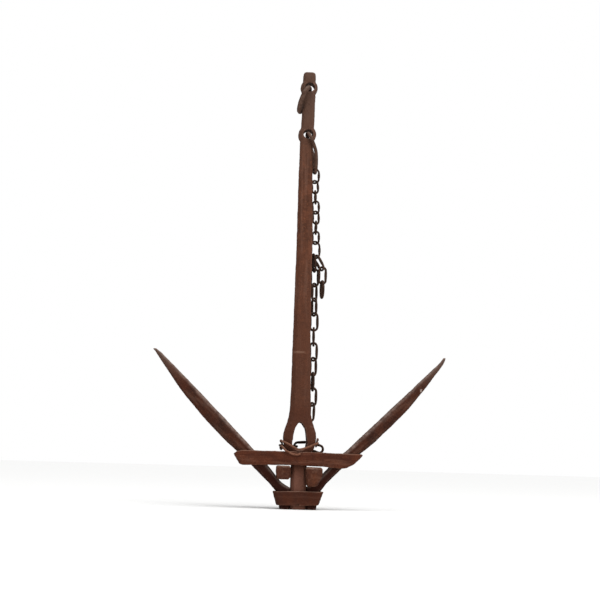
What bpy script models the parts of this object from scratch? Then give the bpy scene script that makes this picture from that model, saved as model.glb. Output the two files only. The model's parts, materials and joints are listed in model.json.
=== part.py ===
"""Old iron anchor with two straight arms banded to its shank, a ring and a lashed chain.

Frame: origin at the centre of the foot's flat underside, +X across the arms, -Y the front, +Z up
the shank. Metres.
"""
import math

import bmesh
import bpy
import numpy as np
from mathutils import Matrix, Vector

MM = 0.001
GAP = 0.3 * MM              # clearance between pieces that touch

# shank: one forging from the foot to the pierced top
SHANK_HALF_WIDTHS = (       # (height, half width) in mm, along the foot bar, the eye and the taper
    (0, 30), (80, 30), (150, 29.5), (190, 31), (212, 45), (230, 56), (250, 61.5), (268, 62.5),
    (286, 61), (304, 55.5), (324, 48), (346, 42.5), (368, 39.7), (392, 38.5), (514, 35.5),
    (698, 32.7), (886, 31.2), (1045, 30.4), (1296, 26.8), (1420, 26), (1510, 25.6), (1590, 24.4),
    (1620, 25.2), (1706, 25), (1715, 23.6), (1721, 20.5),
)
SHANK_HALF_DEPTHS = (       # (height, half depth) in mm
    (0, 31), (400, 31), (900, 27.5), (1420, 22.4), (1700, 21.5), (1721, 18),
)
SHANK_SWAY = (              # (height, middle) in mm: the bar isn't quite straight
    (430, 0), (640, -2.5), (860, -2.5), (1045, -1.5), (1296, -5), (1420, -4.2), (1463, -3), (1544, -1),
    (1620, 0),
)
SHANK_CHAMFER_SHARE = 0.2   # chamfer leg over the full width
SHANK_CHAMFER_LIMITS = (9 * MM, 15 * MM)
BOSS_HEIGHTS = (1463 * MM, 1658 * MM)
BOSS_RADII = (35.5 * MM, 34 * MM)
BOSS_STATIONS = 7
HOLE_RADIUS = 18.7 * MM
HOLE_OFFSETS = (0, 2 * MM)  # the holes were punched a little right of their bosses
HOLE_SIDES = 32

# pear-shaped opening of the shank's eye
EYE_BOTTOM = 220 * MM
EYE_TOP = 325 * MM
EYE_RADIUS = 28.5 * MM
EYE_CENTRE = EYE_BOTTOM + EYE_RADIUS
EYE_SHOULDER = math.radians(25)
EYE_ARC_STEPS = 10
EYE_NECK = 303 * MM
EYE_NECK_HALF_WIDTH = 20 * MM
EYE_TIP_HALF_WIDTH = 6 * MM

# arms: (height, outer edge, inner edge) in mm, measured across from the shank's axis
ARM_LEFT = (
    (0, 69, 30.4), (14, 69.5, 30.4), (66, 84, 30.4), (80, 96.5, 30.4), (90, 105.9, 50), (100, 115.9, 65),
    (130, 147.1, 92), (165, 184.4, 121), (205, 229.2, 161.5), (244, 274.5, 198.2), (288, 321.2, 242.8),
    (333, 365.9, 286.5), (378, 406.6, 334.1), (423, 446.5, 378.7), (457, 473.1, 414.5), (501, 504.6, 459.2),
    (546, 537.5, 507.1), (575, 558, 537), (590, 571, 558),
)
ARM_RIGHT = (
    (0, 69, 30.4), (14, 69.5, 30.4), (66, 81.5, 30.4), (84, 94.9, 30.4), (95, 102.7, 50), (105, 111.9, 63),
    (130, 135.5, 89), (165, 172, 119.5), (205, 221.9, 160.5), (244, 270.6, 202.6), (288, 316.1, 247.3),
    (333, 361.8, 294.7), (378, 405.9, 339.2), (423, 443, 387), (456, 470.2, 420.7), (464, 476.8, 429.4),
    (482, 490.1, 447), (528, 524, 494), (550, 540.5, 517), (574, 556, 540), (592, 562, 552),
)
ARM_HALF_DEPTH = 31 * MM    # at the foot and through the hoops
ARM_TIP_HALF_DEPTH = 6 * MM
ARM_TAPER_START = 250 * MM
ARM_CHAMFER_SHARE = 0.18

# hoops: front outlines in mm, inner faces clear of what they hold
UPPER_HOOP = (
    (-224, 163.9), (-212, 160.3), (-87, 163.1), (-30, 164.2), (89, 161.4), (150, 156.1), (176, 157.8),
    (205, 171.6), (228, 192.2), (240, 207.5), (236, 211.4), (157, 212.3), (10, 214.3), (-67, 215.2),
    (-220, 214.5), (-236, 210.6), (-247, 200.3),
)
LOWER_HOOP = (
    (-80, 14.5), (0, 15), (76, 17.5), (93, 67.5), (0, 68.5), (-95, 65.5),
)
UPPER_HOOP_WINDOW = (130, 165, 205, 244)        # heights (mm) at which the inside follows the arms
LOWER_HOOP_WINDOW = (0, 14, 66, 88)
HOOP_CLEARANCE = 0.5 * MM                       # measured level, against the arms' sloping backs
HOOP_THICKNESS = 14 * MM
HOOP_EDGE = 2.2 * MM

# keys: gib heads in front, bodies between the foot bar and the arms (mm: x0, x1, z0, z1)
KEY_LEFT_HEAD = (-89, -33, 109.5, 162.5)
KEY_LEFT_BODY = (-78, -30.4, 116, 156)
KEY_RIGHT_HEAD = (21.5, 88, 84.5, 160)
KEY_RIGHT_BODY = (30.4, 64, 107, 151)
KEY_HEAD_BACK = -(31 + 0.4) * MM
KEY_LEFT_FRONT = -56 * MM
KEY_RIGHT_FRONT = -66 * MM
KEY_BACK = 54 * MM
KEY_EDGE = 5 * MM
KEY_OVERLAP = 6 * MM        # the body starts inside the head

# ring in the top boss
RING_RADIUS = 50 * MM       # to the middle of the bar
RING_BAR = 9.5 * MM         # radius of the bar
RING_DROP = 2.2 * MM        # the bar rests in the lower half of the hole
RING_TILT = math.radians(22.5)
RING_STEPS = 28
RING_SIDES = 10

# links: (half length to the crown's middle, half width to the leg's middle, bar radius)
LONG_LINK = (80 * MM, 34.5 * MM, 7 * MM)
FIRST_LINK = (28 * MM, 17.5 * MM, 4 * MM)
SMALL_LINK = (25.4 * MM, 14 * MM, 4 * MM)
JOIN_LINK = (33.4 * MM, 20 * MM, 4 * MM)
LARGE_LINK = (33.1 * MM, 14 * MM, 4.5 * MM)
LOADED_LINK = (34.5 * MM, 14 * MM, 4.5 * MM)    # the same, drawn out by long use
SPREAD_LINK = (33.1 * MM, 15.5 * MM, 4.5 * MM)
LINK_BEND_STEPS = 6
LINK_SIDES = 8
CROSSING_GAPS = (           # angles that bends cross at, and the nominal gap, most of which askew bends take up
    (57, 60, 70, 90), (1.95 * MM, 1.86 * MM, 1.3 * MM, 0.6 * MM),
)
CLOSE_GAP = 1.1 * MM        # where they cross nearly squarely
SQUARE_GAP = 0.6 * MM       # where they cross squarely
WIDE_GAP = 3.5 * MM         # and where a small bend meets a wide one at a slant
LONG_LINK_TILT = math.radians(12.8)    # out to the right, against the shank's edge
LONG_LINK_BACK = math.radians(6)        # and a little to the rear
LONG_LINK_TURN = math.radians(4)        # its flat turned about its own length
LONG_LINK_RISE = 7.5 * MM               # its bend reaches this far above the hole's middle
LONG_LINK_BOW = 12 * MM                 # its legs bow out to the right
BOW_STEP = 16 * MM

# the chain's run: where each stretch ends, by the middle of the last crown (mm)
SMALL_COUNT = 8
LIGHT_ANGLES = (328, 750)               # turn of the first and last light link's flat (degrees)
HEAVY_ANGLES = (                        # and of each heavy link's
    825, 890, 950, 1020, 1080, 1165, 1235, 1295, 1355, 1430, 1490,
)
RUN_ROUTE = (                           # (height, x, y) in mm that the run hangs along
    (1330, 31, 18), (1265, 34, 31), (1220, 40, 38), (1100, 45, 41), (930, 45, 41), (700, 47, 43.5),
    (480, 49, 46), (380, 49, 49), (310, 47, 54),
)
JOIN_SIDE = 7.4                         # two links share the join link's bend, one each side of it (mm)
TAIL = (                                # (direction, turn in degrees, nominal gap and seat off the bend's middle in mm)
    ((30, -19, -60), 120, 0.5, JOIN_SIDE), ((0, 0, -1), 16, 2.3, 2.5), ((0, 0, -1), 104, 1.1, 0),
)
LASHED_SIDE = 4.9 * MM

# the lashed end: the link behind the eye, then crowns of those it holds (mm)
LASHED_TOP = ((42, 54, 305), (41, 57, 240))
LASHED_TURN = math.radians(90)
LASHED_RIGHT_END = (95, 50, 224)
LASHED_LEFT_MIDDLE = (-16, 60, 236)
LASHED_LEFT_END = (-72, 56, 238)

# lashing wire
WIRE_RADIUS = 4 * MM
WIRE_ROUTE = (                          # hand-picked points in mm
    (74, 38, 262), (74, 52, 266), (73, 62, 256), (70, 62, 241), (68, 48, 237.2), (69, 28, 242),
    (69, 4, 249), (69, -22, 249), (62, -37, 246), (48, -40, 240), (35, -41, 234),
    (15, -44, 227), (-5, -47, 223), (-22, -43, 230), (-38, -40, 239), (-54, -39, 247),
    (-66, -32, 252), (-70, -14, 255), (-71, 10, 255), (-69, 30, 252), (-65, 46, 250),
    (-62.6, 57, 246), (-61.8, 58.8, 237), (-62.2, 56, 227), (-66, 44, 223), (-70, 26, 227), (-71, 4, 231),
    (-70, -20, 234), (-69, -38, 234), (-64, -48, 228), (-54, -50.3, 218), (-38, -49.6, 209),
    (-22, -49.5, 204), (-8, -49.5, 203.5), (2, -49.5, 208),
)
WIRE_STEPS = 3

MATERIALS = {
    # name: (colour, roughness, metallic)
    "shank_iron": ((0.105, 0.052, 0.035), 0.85, 0.25),
    "arm_iron": ((0.085, 0.040, 0.027), 0.88, 0.22),
    "hoop_iron": ((0.115, 0.050, 0.032), 0.84, 0.25),
    "key_iron": ((0.120, 0.060, 0.040), 0.86, 0.22),
    "ring_iron": ((0.095, 0.052, 0.038), 0.80, 0.30),
    "chain_iron": ((0.070, 0.040, 0.030), 0.82, 0.30),
    "wire_iron": ((0.180, 0.095, 0.068), 0.78, 0.35),
}


def clear_scene():
    """Remove what the scene holds."""
    for item in list(bpy.data.objects):
        bpy.data.objects.remove(item, do_unlink=True)


def material(name):
    """Return the named material, made on first use."""
    if name in bpy.data.materials:
        return bpy.data.materials[name]
    colour, roughness, metallic = MATERIALS[name]
    made = bpy.data.materials.new(name)
    made.use_nodes = True
    shader = made.node_tree.nodes["Principled BSDF"]
    shader.inputs["Base Color"].default_value = (*colour, 1.0)
    shader.inputs["Roughness"].default_value = roughness
    shader.inputs["Metallic"].default_value = metallic
    return made


def object_from(name, mesh_builder, material_name, origin=(0, 0, 0), smooth_degrees=35):
    """Turn a bmesh built in world places into an object whose origin is at the given point."""
    origin = Vector(origin)
    bmesh.ops.translate(mesh_builder, verts=mesh_builder.verts, vec=-origin)
    bmesh.ops.recalc_face_normals(mesh_builder, faces=mesh_builder.faces)
    mesh = bpy.data.meshes.new(name)
    mesh_builder.to_mesh(mesh)
    mesh_builder.free()
    mesh.materials.append(material(material_name))
    mesh.shade_smooth()
    mesh.set_sharp_from_angle(angle=math.radians(smooth_degrees))
    made = bpy.data.objects.new(name, mesh)
    made.location = origin
    bpy.context.collection.objects.link(made)
    return made


def loft(rings):
    """Skin a stack of equal vertex rings and close both ends."""
    builder = bmesh.new()
    levels = [[builder.verts.new(point) for point in ring] for ring in rings]
    for low, high in zip(levels, levels[1:]):
        for i in range(len(low)):
            j = (i + 1) % len(low)
            builder.faces.new((low[i], low[j], high[j], high[i]))
    builder.faces.new(list(reversed(levels[0])))
    builder.faces.new(levels[-1])
    return builder


def sweep_loop(points, side, radius, sides):
    """Sweep a round bar along a closed flat loop; side is the loop's normal."""
    builder = bmesh.new()
    count = len(points)
    rings = []
    for i, point in enumerate(points):
        tangent = (points[(i + 1) % count] - points[i - 1]).normalized()
        across = tangent.cross(side)
        ring = []
        for k in range(sides):
            angle = 2 * math.pi * (k + 0.5) / sides
            ring.append(builder.verts.new(point + radius * (math.cos(angle) * side + math.sin(angle) * across)))
        rings.append(ring)
    for i, ring in enumerate(rings):
        following = rings[(i + 1) % count]
        for k in range(sides):
            m = (k + 1) % sides
            builder.faces.new((ring[k], ring[m], following[m], following[k]))
    return builder


def prism(outline, y_front, y_back):
    """Extrude an outline in the XZ plane from the front to the back."""
    builder = bmesh.new()
    face = builder.faces.new([builder.verts.new((x, y_front, z)) for x, z in outline])
    pushed = bmesh.ops.extrude_face_region(builder, geom=[face])
    moved = [item for item in pushed["geom"] if isinstance(item, bmesh.types.BMVert)]
    bmesh.ops.translate(builder, verts=moved, vec=(0, y_back - y_front, 0))
    bmesh.ops.recalc_face_normals(builder, faces=builder.faces)
    return builder


def cutter(name, builder):
    """Keep a tool shape out of sight."""
    bmesh.ops.recalc_face_normals(builder, faces=builder.faces)
    mesh = bpy.data.meshes.new(name)
    builder.to_mesh(mesh)
    builder.free()
    made = bpy.data.objects.new(name, mesh)
    made.hide_render = True
    made.display_type = "WIRE"
    bpy.context.collection.objects.link(made)
    return made


def cut(target, tool):
    """Subtract a tool shape."""
    boolean = target.modifiers.new("cut_" + tool.name, "BOOLEAN")
    boolean.operation = "DIFFERENCE"
    boolean.solver = "EXACT"
    boolean.object = tool


def read_along(table, height):
    """Interpolate a (height, value) table in millimetres at a height in metres."""
    heights, values = zip(*table)
    return float(np.interp(height / MM, heights, values)) * MM


# ---------------------------------------------------------------- shank

def shank_stations():
    """Return the heights at which the shank's section is drawn."""
    heights = {height * MM for height, _ in SHANK_HALF_WIDTHS + SHANK_HALF_DEPTHS + SHANK_SWAY}
    for centre, radius in zip(BOSS_HEIGHTS, BOSS_RADII):
        reach = math.acos(read_along(SHANK_HALF_WIDTHS, centre) / radius)
        heights |= {centre + radius * math.sin(a) for a in np.linspace(-reach, reach, BOSS_STATIONS)}
    return sorted(heights)


def shank_half_width(height):
    """Half width with the two round bosses standing out of the bar."""
    width = read_along(SHANK_HALF_WIDTHS, height)
    for centre, radius in zip(BOSS_HEIGHTS, BOSS_RADII):
        offset = abs(height - centre)
        if offset < radius:
            width = max(width, math.sqrt(radius ** 2 - offset ** 2))
    return width


def chamfered_section(half_width, half_depth, chamfer, place):
    """Eight corners of a chamfered rectangle; place maps (across, depth) to a point."""
    w, d, c = half_width, half_depth, chamfer
    corners = ((-w, -d + c), (-w + c, -d), (w - c, -d), (w, -d + c), (w, d - c), (w - c, d), (-w + c, d), (-w, d - c))
    return [place(a, b) for a, b in corners]


def shank():
    """The shank, with its eye and both pierced bosses."""
    rings = []
    for height in shank_stations():
        width = shank_half_width(height)
        bar = read_along(SHANK_HALF_WIDTHS, height)
        chamfer = min(max(2 * bar * SHANK_CHAMFER_SHARE, SHANK_CHAMFER_LIMITS[0]), SHANK_CHAMFER_LIMITS[1])
        depth = read_along(SHANK_HALF_DEPTHS, height)
        middle = read_along(SHANK_SWAY, height)
        rings.append(chamfered_section(width, depth, chamfer, lambda a, b, x=middle, z=height: (x + a, b, z)))
    made = object_from("shank", loft(rings), "shank_iron")
    cut(made, cutter("eye_tool", prism(eye_outline(), -0.1, 0.1)))
    for name, offset, centre in zip(("lower_hole_tool", "upper_hole_tool"), HOLE_OFFSETS, BOSS_HEIGHTS):
        outline = [
            (offset + HOLE_RADIUS * math.cos(a), centre + HOLE_RADIUS * math.sin(a))
            for a in np.linspace(0, 2 * math.pi, HOLE_SIDES, endpoint=False)
        ]
        cut(made, cutter(name, prism(outline, -0.1, 0.1)))
    return made


def eye_outline():
    """Pear shape: a round bottom drawn up to a blunt point."""
    right = [
        (EYE_RADIUS * math.cos(a), EYE_CENTRE + EYE_RADIUS * math.sin(a))
        for a in np.linspace(-math.pi / 2, EYE_SHOULDER, EYE_ARC_STEPS)
    ]
    right += [(EYE_NECK_HALF_WIDTH, EYE_NECK), (EYE_TIP_HALF_WIDTH, EYE_TOP)]
    return right + [(-x, z) for x, z in reversed(right[1:])]


# ---------------------------------------------------------------- arms

def arm(name, stations, side):
    """One straight horn; side is -1 for the left arm and +1 for the right."""
    rings = []
    tip = stations[-1][0] * MM
    for height, outer, inner in ((h * MM, o * MM, i * MM) for h, o, i in stations):
        taper = max(0.0, (height - ARM_TAPER_START) / (tip - ARM_TAPER_START))
        depth = ARM_HALF_DEPTH + (ARM_TIP_HALF_DEPTH - ARM_HALF_DEPTH) * taper ** 1.3
        half_width = (outer - inner) / 2
        chamfer = ARM_CHAMFER_SHARE * min(2 * half_width, 2 * depth)
        middle = side * (outer + inner) / 2
        rings.append(chamfered_section(half_width, depth, chamfer, lambda a, b, x=middle, z=height: (x + a, b, z)))
    return object_from(name, loft(rings), "arm_iron")


# ---------------------------------------------------------------- hoops

def hoop(name, outline, window_heights):
    """A flat band round the shank and both arms, its inside following the arms' backs."""
    outer = ARM_HALF_DEPTH + HOOP_THICKNESS
    body = prism([(x * MM, z * MM) for x, z in outline], -outer, outer)
    made = object_from(name, body, "hoop_iron")
    bevel = made.modifiers.new("worn_edges", "BEVEL")
    bevel.width = HOOP_EDGE
    bevel.segments = 2
    bevel.limit_method = "ANGLE"
    bevel.angle_limit = math.radians(50)
    right = [(arm_back(ARM_RIGHT, z) + HOOP_CLEARANCE, z * MM) for z in window_heights]
    left = [(-arm_back(ARM_LEFT, z) - HOOP_CLEARANCE, z * MM) for z in window_heights]
    inner = ARM_HALF_DEPTH + GAP
    cut(made, cutter(name + "_tool", prism(right + left[::-1], -inner, inner)))
    return made


def arm_back(stations, height_mm):
    """Distance of an arm's outer edge from the axis, in metres, at a height in millimetres."""
    heights, outers, _ = zip(*stations)
    return float(np.interp(height_mm, heights, outers)) * MM


# ---------------------------------------------------------------- keys

def key(name, head, body, front):
    """A gib key: a head in front of the arm's face and a body driven through to the back."""
    x0, x1, z0, z1 = (v * MM for v in head)
    builder = rounded_block((x0, front, z0), (x1, KEY_HEAD_BACK, z1))
    made = object_from(name, builder, "key_iron")
    a0, a1, b0, b1 = (v * MM for v in body)
    tail = cutter(name + "_body", rounded_block((a0, KEY_HEAD_BACK - KEY_OVERLAP, b0), (a1, KEY_BACK, b1)))
    boolean = made.modifiers.new("body", "BOOLEAN")
    boolean.operation = "UNION"
    boolean.solver = "EXACT"
    boolean.object = tail
    return made


def rounded_block(low, high):
    """A block with its edges rounded."""
    low, high = Vector(low), Vector(high)
    builder = bmesh.new()
    middle = Matrix.Translation((low + high) / 2)
    size = Matrix.Diagonal((*(high - low), 1))
    bmesh.ops.create_cube(builder, size=1, matrix=middle @ size)
    bmesh.ops.bevel(
        builder, geom=list(builder.edges), offset=KEY_EDGE, segments=2, profile=0.5, affect="EDGES",
    )
    return builder


# ---------------------------------------------------------------- rings and links

def loop_points(centre, along, across, half_length, half_width):
    """Middle line of an oval loop with round ends, as world points."""
    straight = half_length - half_width
    points = []
    for end in (1, -1):
        for a in np.linspace(0, math.pi, LINK_BEND_STEPS + 1):
            offset = end * (straight + half_width * math.sin(a)) * along + end * half_width * math.cos(a) * across
            points.append(centre + offset)
    return points


def bowed_points(points, centre, along, half_length, bow):
    """The same loop with its legs cut into steps and bowed out of its flat."""
    bowed = []
    for start, end in zip(points, points[1:] + points[:1]):
        steps = 1 + int((end - start).length / BOW_STEP)
        for t in np.linspace(0, 1, steps, endpoint=False):
            point = start.lerp(end, float(t))
            share = (point - centre).dot(along) / half_length
            bowed.append(point + (1 - share ** 2) ** 2 * bow)
    return bowed


class Link:
    """Placement of one loop: its top crown's middle, its direction and the way its flat faces."""

    def __init__(self, top, along, across, size, pivot):
        self.half_length, self.half_width, self.bar = size
        self.along = Vector(along).normalized()
        across = Vector(across)
        self.across = (across - across.dot(self.along) * self.along).normalized()
        self.centre = Vector(top) + self.half_length * self.along
        self.pivot = Vector(pivot)

    def crown(self, side=0.0):
        """Middle of the lower bend's bar, `side` off its lowest point."""
        bend = self.centre + (self.half_length - self.half_width) * self.along
        return bend + side * self.across + math.sqrt(self.half_width ** 2 - side ** 2) * self.along

    def next(self, along, across, size, gap, side=0.0):
        """The link that pulls away along `along` from this one's lower bend."""
        along = Vector(along).normalized()
        slope = self.half_width / math.sqrt(self.half_width ** 2 - side ** 2)
        pivot = self.crown(side)
        return Link(pivot - (self.bar + size[2] + gap) * slope * along, along, across, size, pivot)

    def mesh(self, name, material_name, sides=LINK_SIDES, bow=0.0):
        """The solid, with its origin on the pivot and its legs bowed out of its flat by `bow`."""
        points = loop_points(self.centre, self.along, self.across, self.half_length, self.half_width)
        normal = self.along.cross(self.across).normalized()
        if bow:
            points = bowed_points(points, self.centre, self.along, self.half_length, bow * normal)
        return object_from(name, sweep_loop(points, normal, self.bar, sides), material_name, self.pivot, 60)


def plan_direction(angle):
    """Unit direction in the XY plane."""
    return Vector((math.cos(angle), math.sin(angle), 0))


def ring():
    """The ring, hanging down to the left from the top boss."""
    hole = Vector((HOLE_OFFSETS[1], 0, BOSS_HEIGHTS[1]))
    down = Vector((-math.sin(RING_TILT), 0, -math.cos(RING_TILT)))
    centre = hole + (RING_DROP + RING_RADIUS) * down
    points = [
        centre + RING_RADIUS * (math.cos(a) * down + math.sin(a) * Vector((0, 1, 0)))
        for a in np.linspace(0, 2 * math.pi, RING_STEPS, endpoint=False)
    ]
    normal = down.cross(Vector((0, 1, 0))).normalized()
    return object_from("ring", sweep_loop(points, normal, RING_BAR, RING_SIDES), "ring_iron", hole, 60)


def long_link():
    """Placement of the long link that hangs in the lower boss."""
    hole = Vector((HOLE_OFFSETS[0], 0, BOSS_HEIGHTS[0]))
    along = Vector((math.sin(LONG_LINK_TILT), math.sin(LONG_LINK_BACK), -math.cos(LONG_LINK_TILT)))
    across = Vector((-math.sin(LONG_LINK_TURN), math.cos(LONG_LINK_TURN), 0))
    return Link(hole - LONG_LINK_RISE * along.normalized(), along, across, LONG_LINK, hole)


def route_point(height):
    """Point of the run's hanging line at a height."""
    heights, xs, ys = zip(*sorted(RUN_ROUTE))
    return Vector((np.interp(height / MM, heights, xs) * MM, np.interp(height / MM, heights, ys) * MM, height))


def run_links(first):
    """Placements of the light and heavy links from the long link down to the eye."""
    placed = []
    last = first
    angles = [*np.linspace(*LIGHT_ANGLES, SMALL_COUNT), *HEAVY_ANGLES]
    sizes = [SMALL_LINK] * SMALL_COUNT + [LOADED_LINK] * len(HEAVY_ANGLES)
    sizes[0], sizes[SMALL_COUNT - 1] = FIRST_LINK, JOIN_LINK
    for i, size in enumerate(sizes):
        angle = math.radians(angles[i])
        side = -JOIN_SIDE * MM if i == SMALL_COUNT else 0.0
        start = last.crown(side)
        target = route_point(start.z - 2 * size[0])
        gap = WIDE_GAP if i in (0, SMALL_COUNT) else float(np.interp(angles[i] - angles[i - 1], *CROSSING_GAPS))
        last = last.next(target - start, plan_direction(angle), size, gap, side)
        placed.append(last)
    return placed


def tail_links(join):
    """Placements of the three free links beside the run."""
    placed = []
    last = join
    for direction, turn, gap, side in TAIL:
        last = last.next(direction, plan_direction(math.radians(turn)), LARGE_LINK, gap * MM, side * MM)
        placed.append(last)
    return placed


def lashed_links():
    """Placements of the link behind the eye and of the three that it holds at the eye's foot."""
    upright, flat = Vector((0, 0, 1)), Vector((0, 1, 0))
    top, bottom = (Vector(p) * MM for p in LASHED_TOP)
    last = Link(top, bottom - top, plan_direction(LASHED_TURN), SPREAD_LINK, top)
    to_right = Vector(LASHED_RIGHT_END) * MM - last.crown(-LASHED_SIDE)
    to_left = Vector(LASHED_LEFT_MIDDLE) * MM - last.crown(LASHED_SIDE)
    right = last.next(to_right, upright, LARGE_LINK, SQUARE_GAP, -LASHED_SIDE)
    middle = last.next(to_left, upright, LARGE_LINK, SQUARE_GAP, LASHED_SIDE)
    left = middle.next(Vector(LASHED_LEFT_END) * MM - middle.crown(), flat, LARGE_LINK, CLOSE_GAP)
    return last, right, middle, left


# ---------------------------------------------------------------- lashing wire

def smooth_route(points, steps):
    """Read a Catmull-Rom curve through hand-picked points."""
    points = [Vector(p) * MM for p in points]
    padded = [2 * points[0] - points[1], *points, 2 * points[-1] - points[-2]]
    route = []
    for before, start, end, after in zip(padded, padded[1:], padded[2:], padded[3:]):
        for t in np.linspace(0, 1, steps, endpoint=False):
            route.append(0.5 * (
                2 * start + (end - before) * t + (2 * before - 5 * start + 4 * end - after) * t ** 2
                + (3 * start - before - 3 * end + after) * t ** 3
            ))
    route.append(points[-1])
    return route


def lashing_wire():
    """Stiff wire from the right link, over the hoop, round the left link and back."""
    curve = bpy.data.curves.new("lashing_wire", "CURVE")
    curve.dimensions = "3D"
    curve.bevel_depth = WIRE_RADIUS
    curve.bevel_resolution = 2
    curve.use_fill_caps = True
    route = smooth_route(WIRE_ROUTE, WIRE_STEPS)
    spline = curve.splines.new("POLY")
    spline.points.add(len(route) - 1)
    for point, place in zip(spline.points, route):
        point.co = (*place, 1)
    curve.materials.append(material("wire_iron"))
    made = bpy.data.objects.new("lashing_wire", curve)
    bpy.context.collection.objects.link(made)
    return made


def main():
    """Build the anchor."""
    clear_scene()
    shank()
    arm("arm_left", ARM_LEFT, -1)
    arm("arm_right", ARM_RIGHT, 1)
    hoop("upper_hoop", UPPER_HOOP, UPPER_HOOP_WINDOW)
    hoop("lower_hoop", LOWER_HOOP, LOWER_HOOP_WINDOW)
    key("key_left", KEY_LEFT_HEAD, KEY_LEFT_BODY, KEY_LEFT_FRONT)
    key("key_right", KEY_RIGHT_HEAD, KEY_RIGHT_BODY, KEY_RIGHT_FRONT)
    ring()
    first = long_link()
    first.mesh("long_link", "ring_iron", RING_SIDES, LONG_LINK_BOW)
    run = run_links(first)
    for i, link in enumerate(run[:SMALL_COUNT], 1):
        link.mesh(f"light_link_{i:02d}", "chain_iron")
    for i, link in enumerate(run[SMALL_COUNT:], 1):
        link.mesh(f"heavy_link_{i:02d}", "chain_iron")
    for i, link in enumerate(tail_links(run[SMALL_COUNT - 1]), 1):
        link.mesh(f"tail_link_{i}", "chain_iron")
    for name, link in zip(("top", "right", "middle", "left"), lashed_links()):
        link.mesh(f"lashed_link_{name}", "chain_iron")
    lashing_wire()


main()
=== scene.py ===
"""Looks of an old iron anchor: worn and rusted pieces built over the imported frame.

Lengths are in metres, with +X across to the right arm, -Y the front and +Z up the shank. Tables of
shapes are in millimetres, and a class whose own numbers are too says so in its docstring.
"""
import json
import logging
import math
from collections.abc import Callable, Iterator, Sequence
from contextlib import contextmanager
from dataclasses import dataclass, field
from enum import Enum
from itertools import pairwise

import bmesh
import bpy
import numpy as np
from mathutils import Matrix, Vector

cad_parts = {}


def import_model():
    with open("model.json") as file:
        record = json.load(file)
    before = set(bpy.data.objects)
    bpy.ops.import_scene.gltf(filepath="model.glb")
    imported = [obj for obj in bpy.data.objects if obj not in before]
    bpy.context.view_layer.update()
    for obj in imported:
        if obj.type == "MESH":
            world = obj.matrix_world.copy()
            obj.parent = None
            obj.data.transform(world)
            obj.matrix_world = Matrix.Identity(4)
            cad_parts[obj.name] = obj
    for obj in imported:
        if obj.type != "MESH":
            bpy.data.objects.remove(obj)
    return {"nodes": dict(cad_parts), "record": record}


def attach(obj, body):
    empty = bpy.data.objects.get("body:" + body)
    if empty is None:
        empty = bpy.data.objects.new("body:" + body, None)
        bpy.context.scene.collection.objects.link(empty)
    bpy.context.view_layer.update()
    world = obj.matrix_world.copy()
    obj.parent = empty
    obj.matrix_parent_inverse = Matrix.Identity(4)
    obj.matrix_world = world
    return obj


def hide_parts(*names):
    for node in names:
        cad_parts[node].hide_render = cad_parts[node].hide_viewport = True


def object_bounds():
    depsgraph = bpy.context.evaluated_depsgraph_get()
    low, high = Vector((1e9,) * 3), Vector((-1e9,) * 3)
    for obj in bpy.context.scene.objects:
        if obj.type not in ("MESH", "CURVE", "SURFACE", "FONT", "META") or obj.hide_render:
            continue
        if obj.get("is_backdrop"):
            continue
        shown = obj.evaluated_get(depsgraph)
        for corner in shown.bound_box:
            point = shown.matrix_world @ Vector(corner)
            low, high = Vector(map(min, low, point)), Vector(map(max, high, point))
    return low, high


MM = 0.001
TOUCH = 1e-5                # places closer than this are the same
LOG = logging.getLogger("anchor")

Piece = bpy.types.Object
Tree = bpy.types.NodeTree
Socket = bpy.types.NodeSocket
Sockets = bpy.types.NodeOutputs
Colour = tuple[float, float, float]
Table = Sequence[tuple[float, ...]]


class Slot(Enum):
    """The record's material slots."""

    SHANK = "shank_iron"
    ARM = "arm_iron"
    HOOP = "hoop_iron"
    KEY = "key_iron"
    RING = "ring_iron"
    CHAIN = "chain_iron"
    WIRE = "wire_iron"


class Grain(Enum):
    """How a bar was drawn out under the hammer: the pattern's lean in degrees and its stretch."""

    UPRIGHT = (0.0, (1.0, 1.0, 14.0))
    LEVEL = (0.0, (9.0, 1.0, 1.0))
    SLOPING = (-44.0, (11.0, 1.0, 1.0))
    NONE = (0.0, (1.0, 1.0, 1.0))


# ---------------------------------------------------------------- workbench

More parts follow.
